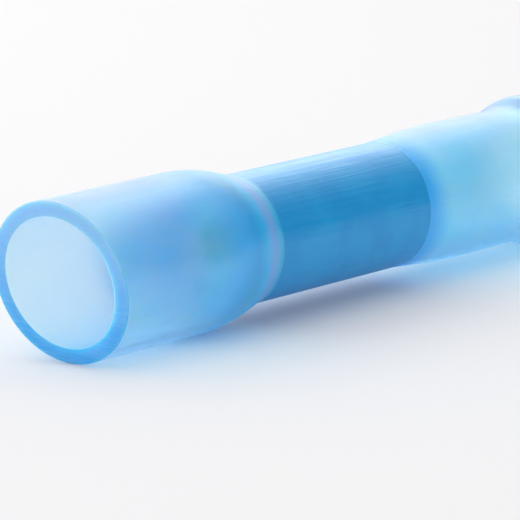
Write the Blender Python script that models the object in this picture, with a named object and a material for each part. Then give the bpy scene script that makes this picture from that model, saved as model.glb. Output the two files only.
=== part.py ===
"""Butt splice connector for thin wire.

A translucent heat-shrink sleeve lies on its side and grips a tinned crimp barrel by
its shrunk middle. Both of its ends are left expanded, as bells for the insulation.
Metres, +Z up, the axis along X, the near mouth towards -X, the floor at Z = 0.
"""
import math

import bmesh
import bpy
from mathutils import Matrix, Vector

MM = 0.001

# Crimp barrel, whose near end stands out of the grip into the bell
BARREL_LENGTH = 12.9 * MM
BARREL_OVERHANG = 1.1 * MM
BARREL_OUTER_R = 2.26 * MM
BARREL_BORE_R = 1.27 * MM
BARREL_EDGE_EASE = 0.15 * MM
BORE_CHAMFER = 0.25 * MM
STOP_DEPTH = 0.75 * MM
STOP_DIAMETER = 2.5 * MM
STOP_RINGS = 12

# Heat-shrink sleeve
BELL_OUTER_R = 4.10 * MM
BELL_WALL = 0.78 * MM
BELL_LENGTH = 13.6 * MM
SHOULDER_LENGTH = 3.0 * MM
FAR_BELL_SHRINKAGE = 0.46 * MM
FAR_SHOULDER_LENGTH = 3.8 * MM
FAR_MOUTH_LENGTH = 1.1 * MM
FLARE_LENGTH = 1.4 * MM
SHOULDER_EASE = 1.1 * MM
FLARE_EASE = 0.45 * MM
NECK_EASE = 0.25 * MM
MOUTH_EDGE_EASE = 0.14 * MM
MOUTH_TILT = math.radians(10.2)
MOUTH_TURN = math.radians(21.8)
GRIP_CLEARANCE = 0.05 * MM

# Facets round each turned piece, a flat one underneath, and the steps of its arcs.
# Every radius is measured to the flats, and the facets' corners lie further out.
FACETS = 24
CORNER_REACH = 1 / math.cos(math.pi / FACETS)
ARC_STEP = math.radians(4)
EDGE_ARC_STEP = math.radians(30)
SHARP_ANGLE = math.radians(35)

SLEEVE_BLUE = (0.10, 0.41, 0.82, 1.0)
TIN = (0.72, 0.73, 0.75, 1.0)

HALF_BARREL = BARREL_LENGTH / 2
HALF_GRIP = (BARREL_LENGTH - BARREL_OVERHANG) / 2
HALF_LENGTH = HALF_GRIP + BELL_LENGTH
FAR_BELL_OUTER_R = BELL_OUTER_R - FAR_BELL_SHRINKAGE
AXIS_HEIGHT = BELL_OUTER_R

# The tube keeps the area of its wall where it shrinks on to the barrel
BELL_BORE_R = BELL_OUTER_R - BELL_WALL
GRIP_BORE_R = BARREL_OUTER_R + GRIP_CLEARANCE
GRIP_OUTER_R = math.sqrt(GRIP_BORE_R ** 2 + BELL_OUTER_R ** 2 - BELL_BORE_R ** 2)
GRIP_WALL = GRIP_OUTER_R - GRIP_BORE_R


def make_material(name, colour, roughness, metallic, transmission):
    material = bpy.data.materials.new(name)
    material.use_nodes = True
    material.diffuse_color = colour
    shader = material.node_tree.nodes["Principled BSDF"]
    shader.inputs["Base Color"].default_value = colour
    shader.inputs["Roughness"].default_value = roughness
    shader.inputs["Metallic"].default_value = metallic
    shader.inputs["Transmission Weight"].default_value = transmission
    return material


def corner_arc(before, corner, after, ease, step):
    """Points of the arc that rounds a corner, from `ease` before it to `ease` after."""
    back = (before - corner).normalized()
    ahead = (after - corner).normalized()
    turn = math.pi - back.angle(ahead)
    if ease == 0 or turn < 0.001:
        return [corner]
    centre = corner + (back + ahead).normalized() * ease / math.sin(turn / 2)
    start = corner + back * ease - centre
    end = corner + ahead * ease - centre
    steps = math.ceil(turn / step)
    points = []
    for i in range(steps + 1):
        done = i / steps * turn
        spoke = start * math.sin(turn - done) + end * math.sin(done)
        points.append(centre + spoke / math.sin(turn))
    return points


def rounded_line(corners, step):
    """A line through corners given as (x, radius from the axis, ease)."""
    spots = [Vector((x, r)) for x, r, ease in corners]
    points = [spots[0]]
    for i in range(1, len(spots) - 1):
        points += corner_arc(spots[i - 1], spots[i], spots[i + 1], corners[i][2], step)
    points.append(spots[-1])
    return points


def turned_piece(name, profile, material):
    """Spin a closed profile of (x, r) points about the axis into one solid."""
    bm = bmesh.new()
    verts = [bm.verts.new((x, 0, r * CORNER_REACH)) for x, r in profile]
    edges = [bm.edges.new((verts[i - 1], verts[i])) for i in range(len(verts))]
    half_facet = Matrix.Rotation(math.pi / FACETS, 3, "X")
    bmesh.ops.rotate(bm, verts=verts, matrix=half_facet)
    bmesh.ops.spin(
        bm, geom=verts + edges, axis=(1, 0, 0), angle=math.tau, steps=FACETS, use_merge=True
    )
    bmesh.ops.recalc_face_normals(bm, faces=bm.faces)
    mesh = bpy.data.meshes.new(name)
    bm.to_mesh(mesh)
    bm.free()
    mesh.materials.append(material)
    piece = bpy.data.objects.new(name, mesh)
    bpy.context.scene.collection.objects.link(piece)
    return piece


def finish_smooth(piece):
    piece.data.shade_smooth()
    piece.data.set_sharp_from_angle(angle=SHARP_ANGLE)


def make_barrel():
    """A tube with eased ends, and a dimple at mid length that stops both wires."""
    stop_r = STOP_DIAMETER / 2
    stop_xs = [stop_r * (2 * i / STOP_RINGS - 1) for i in range(STOP_RINGS + 1)]
    outer = rounded_line(
        [
            (-HALF_BARREL, BARREL_BORE_R + BORE_CHAMFER, 0),
            (-HALF_BARREL, BARREL_OUTER_R, BARREL_EDGE_EASE),
            (0, BARREL_OUTER_R, 0),
        ],
        EDGE_ARC_STEP,
    )[:-1]
    outer += [Vector((x, BARREL_OUTER_R)) for x in stop_xs]
    outer += [Vector((-p.x, p.y)) for p in reversed(outer[: -len(stop_xs)])]
    bore_edge = HALF_BARREL - BORE_CHAMFER
    bore = [Vector((x, BARREL_BORE_R)) for x in [-bore_edge, *stop_xs, bore_edge]]
    tin = make_material("tinned_copper", TIN, roughness=0.3, metallic=1.0, transmission=0.0)
    barrel = turned_piece("crimp_barrel", outer + bore[::-1], tin)
    for vert in barrel.data.vertices:
        reach = math.hypot(vert.co.x, vert.co.y)
        if vert.co.z > 0 and reach < stop_r:
            vert.co.z -= STOP_DEPTH * math.cos(reach / stop_r * math.pi / 2) ** 2
        vert.co.x -= BARREL_OVERHANG / 2
    return barrel


def make_sleeve():
    """One tube: bell, shoulder, grip on the barrel, and a bell that only flares to full
    size at its mouth."""
    askew = math.tan(MOUTH_TILT)
    rim_reach = (BELL_OUTER_R - MOUTH_EDGE_EASE) * CORNER_REACH
    near_mouth = -HALF_LENGTH + rim_reach * askew
    flare_end = HALF_LENGTH - FAR_MOUTH_LENGTH
    # Corners as (x, outer radius, wall, ease)
    corners = [
        (near_mouth, BELL_OUTER_R, BELL_WALL, MOUTH_EDGE_EASE),
        (-HALF_GRIP - SHOULDER_LENGTH, BELL_OUTER_R, BELL_WALL, SHOULDER_EASE),
        (-HALF_GRIP, GRIP_OUTER_R, GRIP_WALL, NECK_EASE),
        (HALF_GRIP, GRIP_OUTER_R, GRIP_WALL, NECK_EASE),
        (HALF_GRIP + FAR_SHOULDER_LENGTH, FAR_BELL_OUTER_R, BELL_WALL, SHOULDER_EASE),
        (flare_end - FLARE_LENGTH, FAR_BELL_OUTER_R, BELL_WALL, FLARE_EASE),
        (flare_end, BELL_OUTER_R, BELL_WALL, FLARE_EASE),
        (HALF_LENGTH, BELL_OUTER_R, BELL_WALL, MOUTH_EDGE_EASE),
    ]
    near_rim = (near_mouth, BELL_BORE_R, 0)
    far_rim = (HALF_LENGTH, BELL_BORE_R, 0)
    outside = [(x, r, ease) for x, r, wall, ease in corners]
    inside = [(x, r - wall, ease) for x, r, wall, ease in corners[1:-1]]
    outer = rounded_line([near_rim, *outside, far_rim], ARC_STEP)
    bore = rounded_line([near_rim, *inside, far_rim], ARC_STEP)
    blue = make_material("blue_polyolefin", SLEEVE_BLUE, roughness=0.35, metallic=0.0, transmission=0.5)
    sleeve = turned_piece("heat_shrink_sleeve", outer + bore[-2:0:-1], blue)
    # The near mouth is cut off askew, its longest side up and to +Y
    for vert in sleeve.data.vertices:
        if vert.co.x < near_mouth + 2 * MOUTH_EDGE_EASE:
            side = vert.co.y * math.sin(MOUTH_TURN) + vert.co.z * math.cos(MOUTH_TURN)
            vert.co.x -= askew * side
    return sleeve


def build_connector():
    for obj in list(bpy.data.objects):
        bpy.data.objects.remove(obj)
    axis = bpy.data.objects.new("connector_axis", None)
    axis.location.z = AXIS_HEIGHT
    bpy.context.scene.collection.objects.link(axis)
    for piece in (make_barrel(), make_sleeve()):
        finish_smooth(piece)
        piece.parent = axis


build_connector()
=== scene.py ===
import math

import bmesh
import bpy
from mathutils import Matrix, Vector


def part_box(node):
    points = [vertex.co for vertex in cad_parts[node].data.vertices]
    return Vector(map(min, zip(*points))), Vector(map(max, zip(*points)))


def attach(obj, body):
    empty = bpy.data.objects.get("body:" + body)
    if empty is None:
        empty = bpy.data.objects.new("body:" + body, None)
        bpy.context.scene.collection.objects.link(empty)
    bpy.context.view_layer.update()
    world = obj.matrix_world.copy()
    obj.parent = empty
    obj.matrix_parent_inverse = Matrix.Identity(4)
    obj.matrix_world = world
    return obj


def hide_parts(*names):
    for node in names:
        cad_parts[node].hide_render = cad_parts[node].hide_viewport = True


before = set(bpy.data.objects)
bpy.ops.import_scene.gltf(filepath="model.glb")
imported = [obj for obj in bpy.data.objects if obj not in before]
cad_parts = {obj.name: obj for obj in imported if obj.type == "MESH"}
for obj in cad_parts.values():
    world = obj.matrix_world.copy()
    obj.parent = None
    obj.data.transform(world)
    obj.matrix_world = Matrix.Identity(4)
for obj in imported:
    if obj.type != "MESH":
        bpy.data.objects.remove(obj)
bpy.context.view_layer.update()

mm = 0.001
weld = 0.001 * mm  # points closer than this are one
close = 0.01 * mm  # a point this near a place is at it
sharpAngle = math.radians(40)
scene = bpy.context.scene
scene.view_settings.view_transform = "Standard"

sleeveLow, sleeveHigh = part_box("heat_shrink_sleeve")
barrelLow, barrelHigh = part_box("crimp_barrel")
axisZ = (sleeveLow.z + sleeveHigh.z) / 2
gripHalf = barrelHigh.x  # the barrel's far end is level with the grip's


# camera: a long lens just above the tabletop, looking along the sleeve
camera = {
    "azimuth": -50.0,
    "elevation": 12.17,
    "distance": 200 * mm,
    "aim": (-5.83 * mm, -1.66 * mm, 3.33 * mm),
    "lens": 276.9,
    "clipNear": 5 * mm,
    "clipFar": 20,
}


def placeCamera():
    around = math.radians(camera["azimuth"])
    above = math.radians(camera["elevation"])
    back = Vector((
        math.sin(around) * math.cos(above),
        -math.cos(around) * math.cos(above),
        math.sin(above),
    ))
    bpy.ops.object.camera_add(location=Vector(camera["aim"]) + back * camera["distance"])
    cam = bpy.context.object
    cam.name = "photo_camera"
    cam.rotation_euler = (-back).to_track_quat("-Z", "Y").to_euler()
    cam.data.lens = camera["lens"]
    cam.data.clip_start = camera["clipNear"]
    cam.data.clip_end = camera["clipFar"]
    scene.camera = cam
    print("camera placed")


# modelling helpers

def startClean():
    if bpy.context.object and bpy.context.object.mode == "EDIT":
        bpy.ops.object.mode_set(mode="OBJECT")
    bpy.ops.object.select_all(action="DESELECT")


def selectWhere(kind, test):
    # kind is verts, edges or faces of the mesh in edit mode
    mesh = bmesh.from_edit_mesh(bpy.context.object.data)
    bpy.ops.mesh.select_all(action="DESELECT")
    for part in getattr(mesh, kind):
        if test(part):
            part.select_set(True)
    bmesh.update_edit_mesh(bpy.context.object.data)


def drawProfile(name, points):
    # one vertex, then extruded from point to point as (x, radius), then closed
    startClean()
    bpy.ops.mesh.primitive_plane_add(size=1 * mm, location=(0, 0, 0))
    piece = bpy.context.object
    piece.name = name
    bpy.ops.object.mode_set(mode="EDIT")
    bpy.ops.mesh.select_mode(type="VERT")
    bpy.ops.mesh.merge(type="CENTER")
    spots = [Vector((x, 0, axisZ + r)) for x, r in points]
    bpy.ops.transform.translate(value=spots[0])
    for here, there in zip(spots, spots[1:]):
        bpy.ops.mesh.extrude_vertices_move(TRANSFORM_OT_translate={"value": there - here})
    ends = (spots[0], spots[-1])
    selectWhere("verts", lambda v: any((v.co - end).length < weld for end in ends))
    bpy.ops.mesh.edge_face_add()
    return piece


def roundCorners(corners, ease, segments):
    # vertex bevel at (x, radius) corners of the profile
    spots = [Vector((x, 0, axisZ + r)) for x, r in corners]
    selectWhere("verts", lambda v: any((v.co - spot).length < close for spot in spots))
    bpy.ops.mesh.bevel(offset=ease, segments=segments, affect="VERTICES")


def spinRound(steps):
    bpy.ops.mesh.select_all(action="SELECT")
    bpy.ops.mesh.spin(steps=steps, angle=math.tau, center=(0, 0, axisZ), axis=(1, 0, 0))
    bpy.ops.mesh.select_all(action="SELECT")
    bpy.ops.mesh.remove_doubles(threshold=weld)
    bpy.ops.mesh.normals_make_consistent(inside=False)


def addMaterials(piece, materials):
    piece.data.materials.clear()
    for material in materials:
        piece.data.materials.append(material)


def assignWhere(piece, slotIndex, test):
    selectWhere("faces", test)
    piece.active_material_index = slotIndex
    bpy.ops.object.material_slot_assign()


def finishPiece(piece, node):
    bpy.ops.object.mode_set(mode="OBJECT")
    bpy.ops.object.shade_smooth_by_angle(angle=sharpAngle)
    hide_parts(node)
    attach(piece, "root")


# material helpers

def newMaterial(name):
    material = bpy.data.materials.new(name)
    material.use_nodes = True
    tree = material.node_tree
    print("material:", name)
    return material, tree, tree.nodes["Principled BSDF"]


def addNode(tree, kind, **settings):
    node = tree.nodes.new(kind)
    for key, value in settings.items():
        setattr(node, key, value)
    return node


def feed(tree, value, socket):
    # value is another node's socket or a plain value
    if isinstance(value, bpy.types.NodeSocket):
        tree.links.new(value, socket)
    else:
        socket.default_value = value


def feedInputs(tree, node, values):
    for name, value in values.items():
        feed(tree, value, node.inputs[name])


def calc(tree, operation, *values, kind="ShaderNodeMath"):
    node = addNode(tree, kind, operation=operation)
    for value, socket in zip(values, node.inputs):
        feed(tree, value, socket)
    return node.outputs["Value"]


def vectorCalc(tree, operation, place, other):
    node = addNode(tree, "ShaderNodeVectorMath", operation=operation)
    feed(tree, place, node.inputs[0])
    feed(tree, other, node.inputs[1])
    return node.outputs["Vector"]


# a Mix node's sockets A, B and Result, for numbers and for colours
mixSockets = {"FLOAT": (2, 3, 0), "RGBA": (6, 7, 2)}


def mixIn(tree, kind, factor, base, top):
    mix = addNode(tree, "ShaderNodeMix", data_type=kind)
    a, b, result = mixSockets[kind]
    tree.links.new(factor, mix.inputs["Factor"])
    feed(tree, base, mix.inputs[a])
    feed(tree, top, mix.inputs[b])
    return mix.outputs[result]


def mixShaders(tree, share, base, top):
    mix = addNode(tree, "ShaderNodeMixShader")
    for value, socket in zip((share, base, top), mix.inputs):
        tree.links.new(value, socket)
    return mix.outputs[0]


def maskAlong(tree, value, start, end):
    # 0 up to start, 1 from end on, and soft in between
    mask = addNode(tree, "ShaderNodeMapRange", interpolation_type="SMOOTHSTEP")
    feedInputs(tree, mask, {"Value": value, "From Min": start, "From Max": end})
    return mask.outputs["Result"]


def placeOf(tree):
    # each point of the piece, in metres
    return addNode(tree, "ShaderNodeTexCoord").outputs["Object"]


def placeAlong(tree, place, axis):
    split = addNode(tree, "ShaderNodeSeparateXYZ")
    tree.links.new(place, split.inputs[0])
    return split.outputs[axis]


# marks that every surface here has: fine lines along the tube, and soft mottling
marks = {
    "lineStretch": (0.03, 1, 1),
    "lineDetail": 3,
    "mottleDetail": 2,
    "noiseLow": 0.34,  # the noise's own range, spread to 0 and 1
    "noiseHigh": 0.66,
}


def softNoise(tree, place, scale, detail):
    noise = addNode(tree, "ShaderNodeTexNoise")
    feedInputs(tree, noise, {"Vector": place, "Scale": scale, "Detail": detail})
    return maskAlong(tree, noise.outputs["Fac"], marks["noiseLow"], marks["noiseHigh"])


def makeMarksGroup():
    tree = bpy.data.node_groups.new("drawn_marks", "ShaderNodeTree")
    socket = tree.interface.new_socket
    socket("Place", in_out="INPUT", socket_type="NodeSocketVector")
    for name in ("Line Scale", "Mottle Scale"):
        socket(name, in_out="INPUT", socket_type="NodeSocketFloat")
    for name in ("Lines", "Mottle", "Height"):
        socket(name, in_out="OUTPUT", socket_type="NodeSocketFloat")
    given = addNode(tree, "NodeGroupInput")
    results = addNode(tree, "NodeGroupOutput")
    place = given.outputs["Place"]
    drawnOut = vectorCalc(tree, "MULTIPLY", place, marks["lineStretch"])
    lines = softNoise(tree, drawnOut, given.outputs["Line Scale"], marks["lineDetail"])
    mottle = softNoise(tree, place, given.outputs["Mottle Scale"], marks["mottleDetail"])
    height = calc(tree, "ADD", lines, mottle)
    feedInputs(tree, results, {"Lines": lines, "Mottle": mottle, "Height": height})
    print("marks drawn")
    return tree


marksGroup = makeMarksGroup()


def addMarks(tree, place, look):
    drawn = addNode(tree, "ShaderNodeGroup", node_tree=marksGroup)
    feedInputs(tree, drawn, {
        "Place": place,
        "Line Scale": look["lineScale"],
        "Mottle Scale": look["mottleScale"],
    })
    bump = addNode(tree, "ShaderNodeBump")
    feedInputs(tree, bump, {
        "Strength": look["bump"],
        "Distance": look["bumpDepth"],
        "Height": drawn.outputs["Height"],
    })
    return drawn.outputs["Lines"], drawn.outputs["Mottle"], bump.outputs["Normal"]


# light spreads inside the milky plastic, and blue light spreads furthest
spread = {
    "Subsurface Weight": 1.0,
    "Subsurface Scale": 1 * mm,
    "Subsurface Radius": (0.5, 1.0, 1.5),
}


# the bells are hazy and tint the light that comes through, most at the shoulders
bellLook = {
    "colour": (0.98, 0.99, 1.0, 1),
    "farColour": (0.62, 0.88, 0.97, 1),  # the far bell shrank a little and is bluer
    "farReach": 1.0 * mm,
    "shoulderColour": (0.2039, 0.399, 1, 1),
    "shoulderReach": 4.0 * mm,
    "absorbColour": (0.58, 0.69, 0.87, 1),
    "absorbDensity": 540.0,
    "shadowColour": (0.80, 0.98, 1.0, 1),
    "haze": 0.6,
    "ior": 1.1,
    "clear": 1.0,
    "coatIor": 1.692,
    "coatLow": 0.8,
    "glossRoughness": 0.40,

    # milkiness, thin on the bells and thick by the grip
    "milk": 0.16,
    "milkColour": (0, 0.8432, 1, 1),
    "milkPale": (0.3, 0.90, 1, 1),
    "shoulderMilk": 0.60,
    "shoulderMilkColour": (0.0, 0.55, 0.97, 1),
    "milkStart": 7.4 * mm,  # how far out from the grip it begins and is full
    "milkEnd": 3.5 * mm,
    "farStart": 2.0 * mm,  # the same on the far bell, for milk and tint
    "farEnd": 0.2 * mm,

    # the crease where the near bell meets the grip, out from the grip's end: hazier, with a
    # pale band that is a painted highlight
    "creaseAt": 1.041 * mm,
    "creaseReach": 1.0 * mm,
    "paintedCreaseHighlight": (0.17, 0.46, 0.84, 1),
    "creaseShare": 0.90,
    "creaseCloud": (2.0, 0.3),  # its haze begins and is full at these shares of its reach

    "lineScale": 5000.0,
    "mottleScale": 450.0,
    "bump": 0.25,
    "bumpDepth": 0.02 * mm,
}


def byGrip(tree, x, start, end):
    # 1 on the grip, fading out along both bells; start and end are for the near one
    near = maskAlong(tree, x, -gripHalf - start, -gripHalf - end)
    farStart, farEnd = bellLook["farStart"], bellLook["farEnd"]
    far = maskAlong(tree, x, gripHalf + farStart, gripHalf + farEnd)
    return calc(tree, "MINIMUM", near, far)


def makeBellMaterial():
    material, tree, shader = newMaterial("hazy_blue_bell")
    place = placeOf(tree)
    x = placeAlong(tree, place, "X")
    lines, mottle, normal = addMarks(tree, place, bellLook)

    farSide = maskAlong(tree, x, gripHalf, gripHalf + bellLook["farReach"])
    shoulder = byGrip(tree, x, bellLook["shoulderReach"], bellLook["farEnd"])
    colour = mixIn(tree, "RGBA", farSide, bellLook["colour"], bellLook["farColour"])
    feedInputs(tree, shader, {
        "Base Color": mixIn(tree, "RGBA", shoulder, colour, bellLook["shoulderColour"]),
        "Roughness": bellLook["haze"],
        "IOR": bellLook["ior"],
        "Transmission Weight": bellLook["clear"],
        "Coat Weight": mixIn(tree, "FLOAT", lines, bellLook["coatLow"], 1.0),
        "Coat Roughness": bellLook["glossRoughness"],
        "Coat IOR": bellLook["coatIor"],
        "Normal": normal,
    })

    # how far a point is from the crease, on either side
    fromCrease = calc(tree, "ADD", x, gripHalf + bellLook["creaseAt"])
    aside = calc(tree, "ABSOLUTE", fromCrease)
    # painted highlight: a pale band around the crease
    crease = maskAlong(tree, aside, bellLook["creaseReach"], 0.0)
    cloudStart, cloudEnd = (bellLook["creaseReach"] * part for part in bellLook["creaseCloud"])
    cloudy = maskAlong(tree, aside, cloudStart, cloudEnd)

    milkNear = byGrip(tree, x, bellLook["milkStart"], bellLook["milkEnd"])
    milkColour = mixIn(tree, "RGBA", mottle, bellLook["milkColour"], bellLook["milkPale"])
    milkColour = mixIn(tree, "RGBA", milkNear, milkColour, bellLook["shoulderMilkColour"])
    milk = addNode(tree, "ShaderNodeBsdfPrincipled")
    feedInputs(tree, milk, spread)
    feedInputs(tree, milk, {
        "Base Color": mixIn(tree, "RGBA", crease, milkColour, bellLook["paintedCreaseHighlight"]),
        "Roughness": bellLook["glossRoughness"],
        "IOR": bellLook["coatIor"],
        "Normal": normal,
    })
    share = mixIn(tree, "FLOAT", milkNear, bellLook["milk"], bellLook["shoulderMilk"])
    share = mixIn(tree, "FLOAT", cloudy, share, bellLook["creaseShare"])
    milky = mixShaders(tree, share, shader.outputs[0], milk.outputs[0])

    # lamps shine through without bending
    clear = addNode(tree, "ShaderNodeBsdfTransparent")
    feedInputs(tree, clear, {"Color": bellLook["shadowColour"]})
    path = addNode(tree, "ShaderNodeLightPath")
    surface = mixShaders(tree, path.outputs["Is Shadow Ray"], milky, clear.outputs[0])
    absorb = addNode(tree, "ShaderNodeVolumeAbsorption")
    feedInputs(tree, absorb, {
        "Color": bellLook["absorbColour"],
        "Density": bellLook["absorbDensity"],
    })
    feedInputs(tree, tree.nodes["Material Output"], {
        "Surface": surface,
        "Volume": absorb.outputs[0],
    })
    return material


# over the barrel the tube is a deep blue film, with the metal close behind it
gripLook = {
    "colour": (0.0005, 0.31, 0.72, 1),
    "paleColour": (0.004, 0.35, 0.76, 1),
    "smooth": 0.30,
    "dull": 0.40,
    "ior": 1.5,
    "lineScale": 6000.0,
    "mottleScale": 500.0,
    "bump": 0.3,
    "bumpDepth": 0.02 * mm,
}


def makeGripMaterial():
    material, tree, shader = newMaterial("blue_film_on_barrel")
    lines, mottle, normal = addMarks(tree, placeOf(tree), gripLook)
    feedInputs(tree, shader, {
        "Base Color": mixIn(tree, "RGBA", mottle, gripLook["colour"], gripLook["paleColour"]),
        "Roughness": mixIn(tree, "FLOAT", lines, gripLook["smooth"], gripLook["dull"]),
        "IOR": gripLook["ior"],
        "Normal": normal,
    })
    return material


# a cut face shows the wall's full depth of blue, with painted light that makes it paler
# towards the top, and the blade's marks
rimLook = {
    "colour": (0.04, 0.40, 0.78, 1),
    "paintedLitTopColour": (0.28, 0.55, 0.86, 1),
    "markColour": (0.30, 0.60, 0.88, 1),
    "marks": 0.25,
    "markTurn": math.radians(90),  # the blade's marks run across the tube
    "smooth": 0.42,
    "dull": 0.62,
    "lineScale": 7000.0,
    "mottleScale": 900.0,
    "bump": 0.35,
    "bumpDepth": 0.02 * mm,
}


def makeRimMaterial():
    material, tree, shader = newMaterial("cut_blue_edge")
    place = placeOf(tree)
    turned = addNode(tree, "ShaderNodeMapping")
    feedInputs(tree, turned, {"Vector": place, "Rotation": (0, 0, rimLook["markTurn"])})
    lines, mottle, normal = addMarks(tree, turned.outputs["Vector"], rimLook)
    # painted light: the cut face is coloured paler towards the top
    up = maskAlong(tree, placeAlong(tree, place, "Z"), sleeveLow.z, sleeveHigh.z)
    colour = mixIn(tree, "RGBA", up, rimLook["colour"], rimLook["paintedLitTopColour"])
    scuffs = calc(tree, "MULTIPLY", lines, rimLook["marks"])
    feedInputs(tree, shader, spread)
    feedInputs(tree, shader, {
        "Base Color": mixIn(tree, "RGBA", scuffs, colour, rimLook["markColour"]),
        "Roughness": mixIn(tree, "FLOAT", mottle, rimLook["smooth"], rimLook["dull"]),
        "Normal": normal,
    })
    return material


# tin plate: satin outside; dull in the bore, with painted shade there in dark blue; bright at
# the cut ends, partly bare cut metal and partly a painted highlight
tinLook = {
    "colour": (0.66, 0.67, 0.69, 1),
    "paleColour": (0.76, 0.77, 0.78, 1),
    "paintedBoreShade": (0.03, 0.10, 0.36, 1),
    "boreFrom": 1.34 * mm,  # radii between which the bore's painted shade comes in
    "boreTo": 1.28 * mm,
    "boreDull": 0.6,
    "cutMetalAndHighlight": (0.92, 0.92, 0.92, 1),
    "cutFrom": 0.12 * mm,  # depths from the end between which the cut's colour, partly a painted highlight, comes in
    "cutTo": 0.02 * mm,
    "smooth": 0.28,
    "dull": 0.45,
    "lineScale": 9000.0,
    "mottleScale": 800.0,
    "bump": 0.3,
    "bumpDepth": 0.01 * mm,
}


def makeTinMaterial():
    material, tree, shader = newMaterial("tin_plate")
    place = placeOf(tree)
    lines, mottle, normal = addMarks(tree, place, tinLook)

    fromAxis = vectorCalc(tree, "SUBTRACT", place, (0, 0, axisZ))
    across = vectorCalc(tree, "MULTIPLY", fromAxis, (0, 1, 1))
    radius = calc(tree, "LENGTH", across, kind="ShaderNodeVectorMath")
    inBore = maskAlong(tree, radius, tinLook["boreFrom"], tinLook["boreTo"])
    x = placeAlong(tree, place, "X")
    fromMiddle = calc(tree, "ADD", x, -(barrelLow.x + barrelHigh.x) / 2)
    halfBarrel = (barrelHigh.x - barrelLow.x) / 2
    cutFrom, cutTo = halfBarrel - tinLook["cutFrom"], halfBarrel - tinLook["cutTo"]
    # the cut ends are coloured brighter: bare cut metal, and partly a painted highlight
    atCut = maskAlong(tree, calc(tree, "ABSOLUTE", fromMiddle), cutFrom, cutTo)

    colour = mixIn(tree, "RGBA", mottle, tinLook["colour"], tinLook["paleColour"])
    # painted shade: the bore is coloured dark blue
    colour = mixIn(tree, "RGBA", inBore, colour, tinLook["paintedBoreShade"])
    roughness = mixIn(tree, "FLOAT", lines, tinLook["smooth"], tinLook["dull"])
    feedInputs(tree, shader, {
        "Base Color": mixIn(tree, "RGBA", atCut, colour, tinLook["cutMetalAndHighlight"]),
        "Metallic": 1.0,
        "Roughness": mixIn(tree, "FLOAT", inBore, roughness, tinLook["boreDull"]),
        "Normal": normal,
    })
    return material


# sleeve: bell, shoulder, grip on the barrel, shoulder, bell that flares at its mouth
sleeve = {
    "bellR": sleeveHigh.z - axisZ,
    "bellWall": 0.78 * mm,
    "farBellR": 3.63 * mm,
    "gripBoreR": 2.31 * mm,
    "gripR": 3.33 * mm,
    "shoulder": 3.0 * mm,
    "farShoulder": 3.8 * mm,
    "farMouth": 1.1 * mm,
    "flare": 1.4 * mm,
    "steps": 160,

    "mouthTilt": math.radians(10.2),
    "mouthTurn": math.radians(21.8),
    "mouthInset": 0.003 * mm,  # keeps the smooth mouth inside the solid's box
    "mouthSpare": 1.0 * mm,  # drawn past the mouth, then cut off
    "rimMatch": 0.05 * mm,  # a cut edge this near a radius is the rim of that radius
    "rimShare": 0.6,  # of the rim's easing that is coloured as the cut

    # easings, and the steps of each
    "shoulderEase": (1.1 * mm, 10),
    "neckEase": (0.25 * mm, 5),
    "flareEase": (0.45 * mm, 8),
    "rimEase": (0.14 * mm, 5),
    "boreEdge": (0.03 * mm, 2),
}


def mouthCut():
    # the near mouth is cut off askew: a point of the cut's plane, and the way it faces
    slope, turn = math.tan(sleeve["mouthTilt"]), sleeve["mouthTurn"]
    facing = Vector((-1, -slope * math.sin(turn), -slope * math.cos(turn))).normalized()
    reach = (sleeve["bellR"] - sleeve["rimEase"][0]) * slope
    return Vector((sleeveLow.x + sleeve["mouthInset"] + reach, 0, axisZ)), facing


def bevelRim(mouth, cut, radius, ease, segments):
    # round the edge that the cut left at this radius
    def onRim(edge):
        return all(
            abs((v.co - mouth).dot(cut)) < close
            and abs(math.hypot(v.co.y, v.co.z - axisZ) - radius) < sleeve["rimMatch"]
            for v in edge.verts
        )

    selectWhere("edges", onRim)
    bpy.ops.mesh.bevel(offset=ease, segments=segments, affect="EDGES")


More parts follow.
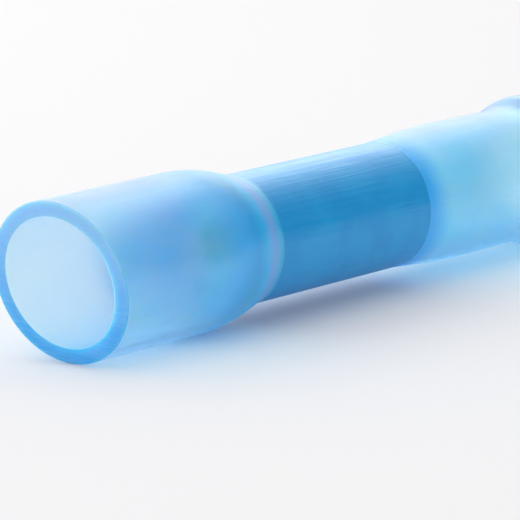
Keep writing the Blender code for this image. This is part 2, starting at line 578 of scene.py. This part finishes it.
def makeSleeve():
    nearX, farX = sleeveLow.x + sleeve["mouthInset"], sleeveHigh.x
    bellR, wall, gripR = sleeve["bellR"], sleeve["bellWall"], sleeve["gripR"]
    flareEnd = farX - sleeve["farMouth"]
    outside = [
        (nearX - sleeve["mouthSpare"], bellR),
        (-gripHalf - sleeve["shoulder"], bellR),
        (-gripHalf, gripR),
        (gripHalf, gripR),
        (gripHalf + sleeve["farShoulder"], sleeve["farBellR"]),
        (flareEnd - sleeve["flare"], sleeve["farBellR"]),
        (flareEnd, bellR),
        (farX, bellR),
    ]
    bore = [(x, sleeve["gripBoreR"] if r == gripR else r - wall) for x, r in outside]
    piece = drawProfile("sleeve_tube", outside + bore[::-1])
    roundCorners([outside[1], bore[1], outside[4], bore[4]], *sleeve["shoulderEase"])
    roundCorners([outside[2], bore[2], outside[3], bore[3]], *sleeve["neckEase"])
    roundCorners([outside[5], outside[6], bore[5], bore[6]], *sleeve["flareEase"])
    roundCorners([outside[7]], *sleeve["rimEase"])
    spinRound(sleeve["steps"])

    mouth, cut = mouthCut()
    bpy.ops.mesh.select_all(action="SELECT")
    bpy.ops.mesh.bisect(plane_co=mouth, plane_no=cut, clear_outer=True)
    bpy.ops.mesh.select_all(action="DESELECT")
    bpy.ops.mesh.select_mode(type="EDGE")
    bpy.ops.mesh.select_non_manifold(extend=False)
    bpy.ops.mesh.bridge_edge_loops()
    bevelRim(mouth, cut, bellR, *sleeve["rimEase"])
    bevelRim(mouth, cut, bellR - wall, *sleeve["boreEdge"])
    bpy.ops.mesh.select_all(action="SELECT")
    bpy.ops.mesh.normals_make_consistent(inside=False)

    bpy.ops.mesh.select_mode(type="FACE")
    addMaterials(piece, [makeBellMaterial(), makeGripMaterial(), makeRimMaterial()])
    rimDepth = sleeve["rimShare"] * sleeve["rimEase"][0]
    assignWhere(piece, 1, lambda f: abs(f.calc_center_median().x) < gripHalf)
    assignWhere(piece, 2, lambda f: (f.calc_center_median() - mouth).dot(cut) > -rimDepth)
    assignWhere(piece, 2, lambda f: f.calc_center_median().x > farX - rimDepth)
    finishPiece(piece, "heat_shrink_sleeve")
    print("sleeve modelled:", len(piece.data.polygons), "faces")


# barrel: a tinned tube with eased ends and a pressed stop, its near end out of the grip
barrel = {
    "outerR": 2.255 * mm,
    "boreR": 1.27 * mm,
    "boreChamfer": 0.25 * mm,
    "stopDepth": 0.75 * mm,
    "stopRadius": 1.25 * mm,
    "stopRings": 20,
    "steps": 128,

    # easings, and the steps of each
    "edgeEase": (0.15 * mm, 5),
    "boreEase": (0.05 * mm, 3),
}


def makeBarrel():
    nearX, farX = barrelLow.x, barrelHigh.x
    middle = (nearX + farX) / 2
    outerR, boreR, chamfer = barrel["outerR"], barrel["boreR"], barrel["boreChamfer"]
    stopR, rings = barrel["stopRadius"], barrel["stopRings"]
    stopXs = [middle + stopR * (2 * i / rings - 1) for i in range(rings + 1)]
    outside = [(nearX, outerR)] + [(x, outerR) for x in stopXs] + [(farX, outerR)]
    bore = [(farX, boreR + chamfer), (farX - chamfer, boreR)]
    bore += [(x, boreR) for x in reversed(stopXs)]
    bore += [(nearX + chamfer, boreR), (nearX, boreR + chamfer)]
    piece = drawProfile("barrel_tube", outside + bore)
    roundCorners([outside[0], outside[-1]], *barrel["edgeEase"])
    roundCorners([bore[0], bore[1], bore[-1], bore[-2]], *barrel["boreEase"])
    spinRound(barrel["steps"])

    # the punch pushes the wall in, at mid length on top
    mesh = bmesh.from_edit_mesh(piece.data)
    for vert in mesh.verts:
        reach = math.hypot(vert.co.x - middle, vert.co.y)
        if vert.co.z > axisZ and reach < stopR:
            vert.co.z -= barrel["stopDepth"] * math.cos(reach / stopR * math.pi / 2) ** 2
    bmesh.update_edit_mesh(piece.data)
    addMaterials(piece, [makeTinMaterial()])
    finishPiece(piece, "crimp_barrel")
    print("barrel modelled:", len(piece.data.polygons), "faces")


# floor, world and lamps
stage = {
    "floorSize": 3.0,
    "floorColour": (0.87, 0.86, 0.87, 1),
    "floorRoughness": 0.8,
    "floorGloss": 0.2,

    # the world is bright towards one side and dim on the other, with its own range
    # for gloss; the camera and what shows through clear plastic see plain white
    "brightSide": (0.1, 0.75, 0.65),
    "gradeFrom": -0.4,
    "gradeTo": 0.7,
    "dimStrength": 0.645,
    "brightStrength": 1.03,
    "glossFrom": 0.0,
    "glossTo": 0.95,
    "dimGloss": 0.0,
    "brightGloss": 2.3,
    "white": 1.0,

    "lamps": {
        "key": {"size": 0.20, "place": (-0.04, 0.19, 0.13), "power": 0.1443},
        "back": {"size": 0.14, "place": (0.22, 0.14, 0.13), "power": 0.09},
    },
    "glossOnly": ["back"],  # a card that only the gloss shows
}


def makeFloor():
    startClean()
    bpy.ops.mesh.primitive_plane_add(size=stage["floorSize"], location=(0, 0, 0))
    floor = bpy.context.object
    floor.name = "floor"
    material, tree, shader = newMaterial("pale_floor")
    feedInputs(tree, shader, {
        "Base Color": stage["floorColour"],
        "Roughness": stage["floorRoughness"],
        "Specular IOR Level": stage["floorGloss"],
    })
    floor.data.materials.append(material)
    print("floor laid")


def lightWorld():
    world = bpy.data.worlds.new("studio")
    scene.world = world
    world.use_nodes = True
    tree = world.node_tree
    way = addNode(tree, "ShaderNodeTexCoord").outputs["Generated"]
    bright = Vector(stage["brightSide"]).normalized()
    facing = calc(tree, "DOT_PRODUCT", way, bright, kind="ShaderNodeVectorMath")
    graded = maskAlong(tree, facing, stage["gradeFrom"], stage["gradeTo"])
    glossGraded = maskAlong(tree, facing, stage["glossFrom"], stage["glossTo"])
    plain = mixIn(tree, "FLOAT", graded, stage["dimStrength"], stage["brightStrength"])
    gloss = mixIn(tree, "FLOAT", glossGraded, stage["dimGloss"], stage["brightGloss"])
    path = addNode(tree, "ShaderNodeLightPath").outputs
    light = mixIn(tree, "FLOAT", path["Is Glossy Ray"], plain, gloss)
    seen = calc(tree, "MAXIMUM", path["Is Camera Ray"], path["Is Transmission Ray"])
    feedInputs(tree, tree.nodes["Background"], {
        "Color": (1, 1, 1, 1),
        "Strength": mixIn(tree, "FLOAT", seen, light, stage["white"]),
    })
    print("world lit")


def hangLamps():
    for name, lamp in stage["lamps"].items():
        place = Vector(lamp["place"])
        bpy.ops.object.light_add(type="AREA", location=place)
        softbox = bpy.context.object
        softbox.name = name + "_softbox"
        softbox.rotation_euler = (-place).to_track_quat("-Z", "Y").to_euler()
        softbox.data.shape = "SQUARE"
        softbox.data.size = lamp["size"]
        softbox.data.energy = lamp["power"]
        if name in stage["glossOnly"]:
            softbox.visible_diffuse = False
            softbox.visible_transmission = False
    print("lamps hung")


placeCamera()
makeFloor()
lightWorld()
hangLamps()
makeBarrel()
makeSleeve()
